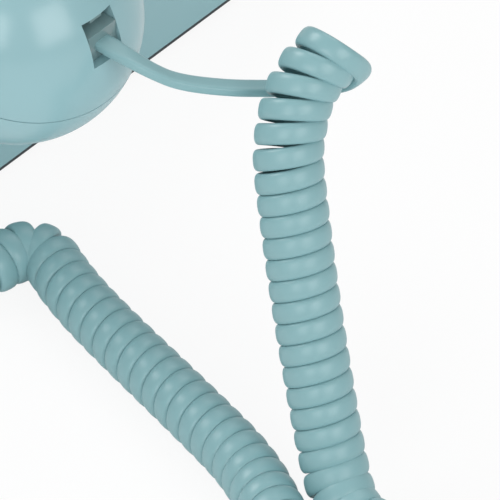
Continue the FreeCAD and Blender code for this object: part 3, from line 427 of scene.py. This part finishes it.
@dataclass
class CurlyCord:
    """The handset's cord: a flat lead, a long tight coil and a short lead into the base.

    Attributes:
        width: The ribbon's width in the coil.
        thickness: Its thickness there.
        lead_width: The ribbon's width in the two leads.
        lead_thickness: Its thickness there.
        outer_radius: The coil's outside at the handset.
        base_share: What is left of the middle line's radius at the base.
        pitch: The axis' length for one turn where it is straight.
        start_room: How far the turns make room in the bend at the handset. At one, their inner sides just
            touch, and at zero the pitch stays.
        loop_room: The same in the loop between the two long stretches.
        end_room: The same in the bend at the base. Below zero, the turns are pushed together.
        loop_x: The loop is what lies beyond this.
        lean_reach: Near the handset the turns lean to where the axis heads over this length.
        lean_fade: They have settled to the axis' own heading after this length.
        start_crowding: How much closer the very first turn is wound.
        twist_start: The share of the handset's lead that stays untwisted.
        stations_per_turn: Sections of the ribbon in one turn.
        section_points: Points of each section.
        squareness: The power of the coil's section. Two is an ellipse, and more is squarer.
        lead_squareness: The same for the leads.
        swell_power: How late the leads' section turns into the coil's.
        axis_step: The spacing of the axis' points.
        start_side: The side of the axis that the coil starts on.
        end_side: The side that it ends on.
        frame_hint: The direction that turns are counted from.
        curl_axis: A direction that the handset's lead never follows.
        join: How far the leads run straight into the coil.
        plug_depth: How deep they go into the plugs.
        handset_lead: Control points of the lead from the handset's plug.
        axis: Control points of the coil's axis.
        base_lead: Control points of the lead into the base's plug.
    """

    width: float = 4.25 * MM
    thickness: float = 2.2 * MM
    lead_width: float = 4.1 * MM
    lead_thickness: float = 2.1 * MM
    outer_radius: float = 7.0 * MM
    base_share: float = 0.81
    pitch: float = 4.19 * MM
    start_room: float = 0.28
    loop_room: float = 1.0
    end_room: float = -0.1
    loop_x: float = -186.0 * MM
    lean_reach: float = 9.5 * MM
    lean_fade: float = 45.0 * MM
    start_crowding: float = 0.1
    twist_start: float = 0.62
    stations_per_turn: int = 56
    section_points: int = 28
    squareness: float = 2.5
    lead_squareness: float = 4.0
    swell_power: int = 4
    axis_step: float = 0.1 * MM
    start_side: tuple[float, float, float] = (-1.0, 0.0, 0.0)
    end_side: tuple[float, float, float] = (0.0, 0.0, 1.0)
    frame_hint: tuple[float, float, float] = (0.75, 0.65, 0.1)
    curl_axis: tuple[float, float, float] = (-0.76, 0.59, -0.26)
    join: float = 4.0 * MM
    plug_depth: float = 5.0 * MM
    handset_lead: tuple[tuple[float, float, float], ...] = (
        (-0.10852, 0.0310, 0.0765),
        (-0.11452, 0.0310, 0.0765),
        (-0.1198, 0.0298, 0.0752),
        (-0.1244, 0.0269, 0.0729),
        (-0.1307, 0.0195, 0.0702),
        (-0.1356, 0.0128, 0.0686),
        (-0.1400, 0.0074, 0.0675),
        (-0.1454, 0.0045, 0.0695),
        (-0.1493, 0.0036, 0.0723),
    )
    axis: tuple[tuple[float, float, float], ...] = (
        (-0.1456, 0.0053, 0.0799),
        (-0.1450, 0.0078, 0.0787),
        (-0.1444, 0.0115, 0.0764),
        (-0.1447, 0.0152, 0.0730),
        (-0.1462, 0.0188, 0.0685),
        (-0.1478, 0.0214, 0.0643),
        (-0.1515, 0.0242, 0.0570),
        (-0.1602, 0.0301, 0.0403),
        (-0.1695, 0.0356, 0.0235),
        (-0.1768, 0.0396, 0.0108),
        (-0.1826, 0.0426, 0.0070),
        (-0.1875, 0.0434, 0.0069),
        (-0.1926, 0.0435, 0.0068),
        (-0.2004, 0.0435, 0.0068),
        (-0.2060, 0.0491, 0.0067),
        (-0.2060, 0.0569, 0.0067),
        (-0.2004, 0.0625, 0.0067),
        (-0.1926, 0.0625, 0.0066),
        (-0.1835, 0.0584, 0.0065),
        (-0.1745, 0.0534, 0.0065),
        (-0.1604, 0.0459, 0.0064),
        (-0.1441, 0.0418, 0.0063),
        (-0.1096, 0.0343, 0.0061),
        (-0.0972, 0.0305, 0.0061),
        (-0.0910, 0.0276, 0.0061),
        (-0.0870, 0.0277, 0.0061),
        (-0.0849, 0.0302, 0.0061),
        (-0.0840, 0.0342, 0.0061),
        (-0.0832, 0.0384, 0.0061),
        (-0.0821, 0.0410, 0.0061),
    )
    base_lead: tuple[tuple[float, float, float], ...] = (
        (-0.0669, 0.0440, 0.0107),
        (-0.0619, 0.0440, 0.0107),
    )

    def build(self, material: bpy.types.Material, plugs: list[bpy.types.Object]) -> bpy.types.Object:
        """Args:
            material: The cord's material.
            plugs: The pieces on its two ends. Not used.

        Returns:
            The cord as one mesh.
        """
        points, outward, swell = self.line()
        cord = mesh_object("handset_cord", *self.ribbon(points, outward, swell), material)
        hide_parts(*CORD_NODES)
        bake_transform(cord)
        return cord

    def line(self) -> tuple[np.ndarray, np.ndarray, np.ndarray]:
        """The cord's middle line from plug to plug, and which way its outer flat side faces.

        The leads are splines that start in the plugs and run straight into the coil's two ends.

        Returns:
            Points, unit outward directions, and how far the section has gone over from the leads' to the
            coil's.
        """
        coil, outward = self.coil()
        step = float(np.linalg.norm(coil[1] - coil[0]))
        first = unit(coil[1] - coil[0])
        last = unit(coil[-1] - coil[-2])
        into_plug = np.array([self.plug_depth, 0.0, 0.0])
        crimp, socket = self.handset_lead[0] + into_plug, self.base_lead[-1] + into_plug
        towards_coil = np.vstack([crimp, self.handset_lead, coil[0] - first * self.join, coil[0]])
        towards_base = np.vstack([coil[-1], coil[-1] + last * self.join, self.base_lead, socket])
        lead_in = Route.from_controls("lead_in", towards_coil, step)
        lead_out = Route.from_controls("lead_out", towards_base, step)
        up = np.array([0.0, 0.0, 1.0])
        into = twisted_sides(lead_in, np.array(self.curl_axis), -up, outward[0], self.twist_start)
        out_of = twisted_sides(lead_out, up, outward[-1], up, 0.0)
        points = np.vstack([lead_in.points[:-1], coil, lead_out.points[1:]])
        sides = np.vstack([into[:-1], outward, out_of[1:]])
        swell_in = np.linspace(0.0, 1.0, len(into)) ** self.swell_power
        swell_out = np.linspace(1.0, 0.0, len(out_of)) ** self.swell_power
        swell = np.concatenate([swell_in[:-1], np.ones(len(coil)), swell_out[1:]])
        return points, sides, swell

    def coil(self) -> tuple[np.ndarray, np.ndarray]:
        """The coil's middle line: a helix about the curved axis, narrowing towards the base.

        A point is the axis plus the radius times a direction that goes round it: one frame vector times the
        cosine of the turn and the other times its sine. Turns gather along the axis at one per pitch, and
        slower where a bend makes room for them. Their count is then scaled a little, so that the coil ends
        on the side wanted.

        Returns:
            Points of the helix and unit directions away from its axis.
        """
        axis = Route.from_controls("coil_axis", np.array(self.axis), self.axis_step)
        radius = self.outer_radius - self.thickness / 2
        step = axis.length / (len(axis.points) - 1)
        ahead = int(self.lean_reach / step)
        summed = np.cumsum(np.pad(axis.heading, ((0, ahead), (0, 0)), mode="edge"), axis=0)
        places = np.arange(len(axis.points)) * step
        settled = np.clip(places / self.lean_fade, 0.0, 1.0)[:, None]
        lean = unit((summed[ahead:] - summed[:-ahead]) / ahead * (1 - settled) + axis.heading * settled)
        side = carried_along(np.array(self.frame_hint), lean)
        across = np.cross(lean, side)
        bend = np.linalg.norm(np.gradient(axis.heading, axis=0), axis=1) / step
        reach = int(self.pitch / step)
        padded = np.pad(bend, reach, mode="edge")
        bend = np.convolve(padded, np.ones(reach) / reach, mode="same")[reach:-reach]
        crowding = 1 + self.start_crowding * np.exp(-places / self.pitch)
        room = np.where(places < axis.length / 2, self.start_room, self.end_room)
        room[axis.points[:, 0] < self.loop_x] = self.loop_room
        rate = (1 - room * radius * bend) * crowding / self.pitch
        turns = np.concatenate([[0.0], np.cumsum((rate[1:] + rate[:-1]) / 2 * step)])
        start = np.arctan2(across[0] @ self.start_side, side[0] @ self.start_side) / math.tau
        spare = np.arctan2(across[-1] @ self.end_side, side[-1] @ self.end_side) / math.tau - start
        total = round(turns[-1] - spare) + spare
        turns = start + turns * total / turns[-1]
        stops = np.linspace(turns[0], turns[-1], int(total * self.stations_per_turn) + 1)
        place = np.interp(stops, turns, np.arange(len(turns)))
        middle, side, across = (
            np.column_stack([np.interp(place, np.arange(len(turns)), row[:, k]) for k in range(3)])
            for row in (axis.points, side, across)
        )
        angle = math.tau * stops[:, None]
        outward = unit(side * np.cos(angle) + across * np.sin(angle))
        narrowing = np.linspace(1.0, self.base_share, len(stops))[:, None]
        log.info("coil of %.2f turns on an axis of %.1f mm", total, axis.length / MM)
        return middle + outward * radius * narrowing, outward

    def ribbon(
        self, points: np.ndarray, outward: np.ndarray, swell: np.ndarray
    ) -> tuple[np.ndarray, list[list[int]]]:
        """The cord's surface: a flat section with domed faces along the middle line.

        The section is a superellipse: the cosine and sine of the angle, each raised to two over the
        squareness with its sign kept, times half the width and half the thickness.

        Args:
            points: The middle line.
            outward: Which way the flat side faces at each point.
            swell: The section at each point, from the leads' at 0 to the coil's at 1.

        Returns:
            Vertices and faces.
        """
        heading = unit(np.gradient(points, axis=0))
        outward = square_to(outward, heading)
        beside = np.cross(heading, outward)
        angle = np.linspace(0.0, math.tau, self.section_points, endpoint=False)
        swell = swell[:, None]
        power = 2 / (self.lead_squareness + (self.squareness - self.lead_squareness) * swell)
        across = np.sign(np.cos(angle)) * np.abs(np.cos(angle)) ** power
        rise = np.sign(np.sin(angle)) * np.abs(np.sin(angle)) ** power
        across *= (self.lead_width + (self.width - self.lead_width) * swell) / 2
        rise *= (self.lead_thickness + (self.thickness - self.lead_thickness) * swell) / 2
        rings = points[:, None] + beside[:, None] * across[..., None] + outward[:, None] * rise[..., None]
        return rings.reshape(-1, 3), tube_faces(len(points), self.section_points)


def carried_along(first: np.ndarray, heading: np.ndarray) -> np.ndarray:
    """A direction square to a line, carried along it without turning about it.

    Each direction is the one before it, less the part that follows the line's new heading.

    Args:
        first: The direction to start from.
        heading: The line's unit directions, one for each point.

    Returns:
        Unit directions, one for each point.
    """
    sides = [square_to(first, heading[:1])[0]]
    for ahead in heading[1:]:
        sides.append(unit(sides[-1] - ahead * (sides[-1] @ ahead)))
    return np.array(sides)


def twisted_sides(
    route: Route, hint: np.ndarray, first: np.ndarray, last: np.ndarray, begin: float
) -> np.ndarray:
    """Which way a flat lead faces along its route, turning evenly from one end to the other.

    The facing is an angle about the route, counted from a steady direction. It eases from the angle of the
    first facing to that of the last.

    Args:
        route: The lead's line.
        hint: The steady direction, which the route never follows.
        first: The facing at its start.
        last: The facing at its end.
        begin: The share of the route after which it starts to turn.

    Returns:
        Unit facings, one for each point of the route.
    """
    steady = square_to(hint, route.heading)
    beside = np.cross(route.heading, steady)
    start = math.atan2(beside[0] @ first, steady[0] @ first)
    turn = math.atan2(beside[-1] @ last, steady[-1] @ last) - start
    turn = (turn + math.pi) % math.tau - math.pi
    share = np.clip(np.linspace(-begin / (1 - begin), 1.0, len(route.points)), 0.0, 1.0)[:, None]
    angle = start + turn * share**2 * (3 - 2 * share)
    return steady * np.cos(angle) + beside * np.sin(angle)


def tube_faces(rings: int, around: int) -> list[list[int]]:
    """Faces of a closed tube whose vertices come ring by ring.

    Args:
        rings: How many rings it has.
        around: How many vertices each ring has.

    Returns:
        Quads along the tube and one face at each end.
    """
    grid = np.arange(rings * around).reshape(rings, around)
    turned = np.roll(grid, -1, axis=1)
    quads = np.stack([grid[:-1], turned[:-1], turned[1:], grid[1:]], axis=-1).reshape(-1, 4)
    return quads.tolist() + [grid[0, ::-1].tolist(), grid[-1].tolist()]


def mesh_object(
    name: str, vertices: np.ndarray, faces: list[list[int]], material: bpy.types.Material
) -> bpy.types.Object:
    """Make a smooth-shaded mesh object at the origin.

    Args:
        name: The piece's name.
        vertices: Points in metres.
        faces: Vertex numbers of each face.
        material: The piece's material.

    Returns:
        The new object, linked to the scene.
    """
    mesh = bpy.data.meshes.new(name)
    mesh.from_pydata(vertices.tolist(), [], faces)
    mesh.materials.append(material)
    return shown(name, mesh, DRAWN_CREASE)


def shown(name: str, mesh: bpy.types.Mesh, crease: float) -> bpy.types.Object:
    """Put a mesh in the scene, shaded smooth but for its creases.

    Args:
        name: The piece's name.
        mesh: Its mesh.
        crease: The angle between faces above which an edge stays sharp.

    Returns:
        The new object.
    """
    mesh.polygons.foreach_set("use_smooth", np.ones(len(mesh.polygons), dtype=bool))
    mesh.set_sharp_from_angle(angle=crease)
    piece = bpy.data.objects.new(name, mesh)
    bpy.context.scene.collection.objects.link(piece)
    return piece


@dataclass
class Telephone:
    """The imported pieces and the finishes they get."""

    frame: dict
    materials: dict[Slot, bpy.types.Material]
    own_materials: dict[str, bpy.types.Material]
    crease: float = math.radians(32)
    weld: float = 0.002 * MM

    def slot_of(self) -> dict[str, Slot]:
        """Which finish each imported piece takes.

        Returns:
            The slot of each node.
        """
        return {part["node"]: Slot(part["material_slot"]) for part in self.frame["record"]["subparts"]}

    def dress(self, skip: tuple[str, ...]) -> dict[str, bpy.types.Object]:
        """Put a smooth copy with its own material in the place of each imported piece.

        Args:
            skip: Nodes that other pieces stand for.

        Returns:
            The new pieces, by node.
        """
        slots = self.slot_of()
        return {node: self.smooth_copy(node, slots[node]) for node in sorted(set(slots) - set(skip))}

    def smooth_copy(self, node: str, slot: Slot) -> bpy.types.Object:
        """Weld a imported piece's triangles, shade it smooth and give it its material.

        Args:
            node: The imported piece.
            slot: The finish it takes.

        Returns:
            The piece that stands for it.
        """
        source = self.frame["nodes"][node]
        work = bmesh.new()
        work.from_mesh(source.data)
        bmesh.ops.remove_doubles(work, verts=work.verts, dist=self.weld)
        mesh = bpy.data.meshes.new(node + "_skin")
        work.to_mesh(mesh)
        work.free()
        if "custom_normal" in mesh.attributes:
            mesh.attributes.remove(mesh.attributes["custom_normal"])
        mesh.materials.clear()
        mesh.materials.append(self.own_materials.get(node, self.materials[slot]))
        piece = shown(node + "_skin", mesh, self.crease)
        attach(piece, source["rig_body"])
        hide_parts(node)
        return piece


@dataclass
class KeyFigures:
    """The figures printed on the twelve keys, which stand in a ring like a clock's hours."""

    ring_radius: float = 24.0 * MM
    key_top: float = 4.2 * MM
    size: float = 5.2 * MM
    ink: float = 0.03 * MM
    first_angle: float = math.radians(15)
    spacing: float = math.radians(30)
    crease: float = math.radians(30)
    figures: tuple[tuple[str, str], ...] = (
        ("1", "1"),
        ("2", "2"),
        ("3", "3"),
        ("4", "4"),
        ("5", "5"),
        ("6", "6"),
        ("7", "7"),
        ("8", "8"),
        ("9", "9"),
        ("star", "*"),
        ("0", "0"),
        ("hash", "#"),
    )

    def build(self, material: bpy.types.Material) -> list[bpy.types.Object]:
        """Print a figure on each key.

        Args:
            material: The ink's material.

        Returns:
            The twelve figures.
        """
        pieces = []
        dial = Matrix.Translation(Vector(DIAL_CENTRE_MM) * MM) @ Matrix.Rotation(DIAL_LEAN, 4, "X")
        for i, (key, figure) in enumerate(self.figures):
            angle = self.first_angle + self.spacing * i
            spot = Vector((math.sin(angle), math.cos(angle), 0.0)) * self.ring_radius
            spot.z = self.key_top
            mesh = self.figure_mesh(figure)
            mesh.transform(dial @ Matrix.Translation(spot))
            mesh.materials.append(material)
            piece = shown("figure_" + key, mesh, self.crease)
            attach(piece, "button_" + key)
            pieces.append(piece)
        return pieces

    def figure_mesh(self, figure: str) -> bpy.types.Mesh:
        """One figure as a thin raised print, centred on the origin.

        Args:
            figure: The character.

        Returns:
            Its mesh.
        """
        text = bpy.data.curves.new("figure", "FONT")
        text.body = figure
        text.size = self.size
        text.extrude = self.ink
        holder = bpy.data.objects.new("figure", text)
        mesh = bpy.data.meshes.new_from_object(holder)
        bpy.data.objects.remove(holder)
        bpy.data.curves.remove(text)
        mesh.materials.clear()
        flat = np.empty(3 * len(mesh.vertices))
        mesh.vertices.foreach_get("co", flat)
        corners = flat.reshape(-1, 3)
        middle = (corners.min(axis=0) + corners.max(axis=0)) / 2
        mesh.transform(Matrix.Translation(-Vector(middle)))
        return mesh


@dataclass
class Softbox:
    """A square soft light that faces the telephone, placed in degrees and metres."""

    name: str
    azimuth: float
    elevation: float
    distance: float
    side: float
    watts: float

    def build(self, target: Vector) -> None:
        """Add the light.

        Args:
            target: The point it faces.
        """
        light = bpy.data.lights.new(self.name, "AREA")
        light.size = self.side
        light.energy = self.watts
        holder = bpy.data.objects.new(self.name, light)
        way = direction(self.azimuth, self.elevation)
        holder.location = target + way * self.distance
        holder.rotation_euler = way.to_track_quat("Z", "Y").to_euler()
        bpy.context.scene.collection.objects.link(holder)


def direction(azimuth: float, elevation: float) -> Vector:
    """The direction from the telephone towards a viewer.

    Args:
        azimuth: Degrees round from the front, towards the user's right.
        elevation: Degrees above the table.

    Returns:
        A unit vector.
    """
    turn, rise = math.radians(azimuth), math.radians(elevation)
    return Vector((math.sin(turn) * math.cos(rise), -math.cos(turn) * math.cos(rise), math.sin(rise)))


@dataclass
class Studio:
    """Camera, lights, floor and world."""

    azimuth: float = 222.0
    elevation: float = 43.0
    distance: float = 2.5
    view_width: float = 0.09615
    target: tuple[float, float, float] = (-0.1480, 0.0324, 0.0474)
    sensor_mm: float = 36.0
    sight: float = 50.0
    lit_point: tuple[float, float, float] = (-0.08, 0.02, 0.05)
    floor_reach: float = 3.0
    floor_drop: float = 0.1 * MM
    floor_glow: float = 0.9
    world_light: float = 0.34
    softboxes: tuple[Softbox, ...] = (
        Softbox("softbox_left", 260.0, 28.0, 1.6, 0.9, 9.6),
        Softbox("softbox_right", 200.0, 28.0, 1.6, 0.8, 6.8),
        Softbox("softbox_far", 106.0, 45.0, 1.8, 0.8, 12.0),
        Softbox("softbox_front", 20.0, 55.0, 1.8, 1.2, 7.0),
    )

    def build(self) -> None:
        """Set up everything round the telephone."""
        self.add_camera()
        for softbox in self.softboxes:
            softbox.build(Vector(self.lit_point))
        self.add_floor()
        self.add_world()
        bpy.context.scene.view_settings.view_transform = "Standard"

    def add_camera(self) -> None:
        """Set a long lens on the handset's cord end."""
        camera = bpy.data.cameras.new("camera")
        camera.sensor_width = self.sensor_mm
        camera.lens = self.sensor_mm * self.distance / self.view_width
        camera.clip_end = self.sight
        holder = bpy.data.objects.new("camera", camera)
        way = direction(self.azimuth, self.elevation)
        holder.location = Vector(self.target) + way * self.distance
        holder.rotation_euler = way.to_track_quat("Z", "Y").to_euler()
        bpy.context.scene.collection.objects.link(holder)
        bpy.context.scene.camera = holder

    def add_floor(self) -> None:
        """Lay a white table top that shows only a trace of shadow."""
        # Matt white laminate, which glows towards the camera so that it stays white round the telephone.
        material = bpy.data.materials.new("white_table")
        material.use_nodes = True
        tree = material.node_tree
        paint = tree.nodes["Principled BSDF"]
        paint.inputs["Base Color"].default_value = linear("#f4f4f4")
        paint.inputs["Roughness"].default_value = 0.9
        ray = add_node(tree, "ShaderNodeLightPath").outputs["Is Camera Ray"]
        glowing = add_node(tree, "ShaderNodeMath", {0: ray, 1: self.floor_glow}, operation="MULTIPLY")
        glow = add_node(tree, "ShaderNodeEmission", {"Color": (1, 1, 1, 1), "Strength": 1.0})
        mix = add_node(
            tree,
            "ShaderNodeMixShader",
            {0: glowing.outputs[0], 1: paint.outputs["BSDF"], 2: glow.outputs["Emission"]},
        )
        tree.links.new(mix.outputs["Shader"], tree.nodes["Material Output"].inputs["Surface"])
        square = np.array([[-1, -1, 0], [1, -1, 0], [1, 1, 0], [-1, 1, 0]])
        corners = square * self.floor_reach - np.array([0.0, 0.0, self.floor_drop])
        mesh_object("table_top", corners, [[0, 1, 2, 3]], material)

    def add_world(self) -> None:
        """Light the scene evenly from all round, against white."""
        world = bpy.data.worlds.new("studio")
        world.use_nodes = True
        bpy.context.scene.world = world
        tree = world.node_tree
        path = add_node(tree, "ShaderNodeLightPath")
        strength = add_node(
            tree,
            "ShaderNodeMapRange",
            {"Value": path.outputs["Is Camera Ray"], "To Min": self.world_light, "To Max": 1.0},
        )
        tree.links.new(strength.outputs["Result"], tree.nodes["Background"].inputs["Strength"])
        tree.nodes["Background"].inputs["Color"].default_value = (1.0, 1.0, 1.0, 1.0)


def main() -> None:
    """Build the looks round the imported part."""
    logging.basicConfig(level=logging.INFO, format="%(name)s: %(message)s")
    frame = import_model()
    materials = {slot: finish.material() for slot, finish in FINISHES.items()}
    # The jacks take the paler nylon, which is painted light for their shaded recesses.
    telephone = Telephone(frame, materials, dict.fromkeys(JACKS, JACK_PAINTED_LIGHT_FINISH.material()))
    pieces = telephone.dress(skip=CORD_NODES)
    cord = CurlyCord().build(materials[Slot.CORD], [pieces[node] for node in CORD_ENDS])
    figures = KeyFigures().build(materials[Slot.DARK_PLASTIC])
    Studio().build()
    for piece in (*pieces.values(), cord, *figures):
        log.info("%s: %d faces", piece.name, len(piece.data.polygons))


if __name__ == "__main__":
    main()
